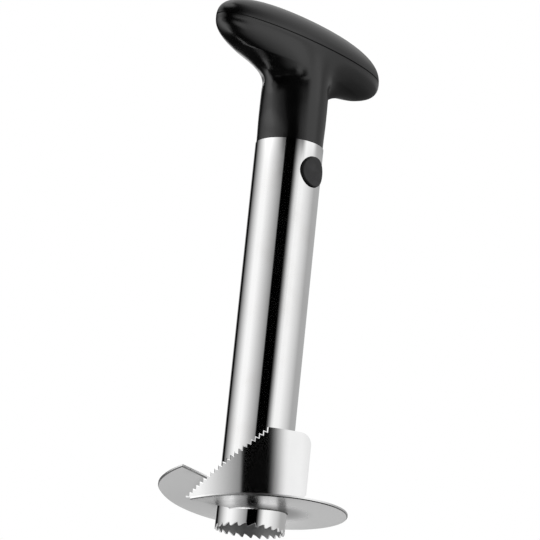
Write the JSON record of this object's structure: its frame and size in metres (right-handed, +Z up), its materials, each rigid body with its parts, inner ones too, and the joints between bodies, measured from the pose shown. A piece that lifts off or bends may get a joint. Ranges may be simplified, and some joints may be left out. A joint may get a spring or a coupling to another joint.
{
  "type": "pineapple slicer",
  "caption": "T-handled fruit corer: a toothed steel tube with a spiral slicing disc and an upright curved saw blade, under a handle that lifts off when a button is pressed.",
  "frame": {"origin": "on the tube's axis, in the plane of the tube's tooth tips", "axes": "+Z up along the tube to the handle, X along the T handle, -Y towards the release button"},
  "size_m": [0.1194, 0.09, 0.2525],
  "materials": {
    "tube_steel": "mirror polished stainless steel",
    "blade_steel": "polished and fine ground stainless sheet",
    "weld_steel": "ground weld bead",
    "black_plastic": "satin moulded plastic",
    "plain_steel": "bright drawn steel",
    "button_plastic": "fine textured moulded plastic"
  },
  "bodies": {
    "cutter": {"core_tube": "tube_steel", "slicing_disc": "blade_steel", "ring_blade": "blade_steel", "tube_weld": "weld_steel", "blade_weld": "weld_steel"},
    "handle": {"handle_body": "black_plastic", "handle_cap": "black_plastic", "handle_plug": "black_plastic", "plug_end_cap": "black_plastic", "plug_screws": "plain_steel", "button_pin": "plain_steel", "button_spring": "plain_steel"},
    "button": {"release_button": "button_plastic"}
  },
  "joints": [
    {"name": "handle_lift", "type": "slide", "parent": "cutter", "child": "handle", "axis": [0, 0, 1], "range_m": [0, 0.15]},
    {"name": "button_press", "type": "slide", "parent": "handle", "child": "button", "axis": [0, 1, 0], "range_m": [0, 0.0025], "stiffness_N_per_m": 600, "springref_m": -0.003, "deforming": ["button_spring"]}
  ]
}
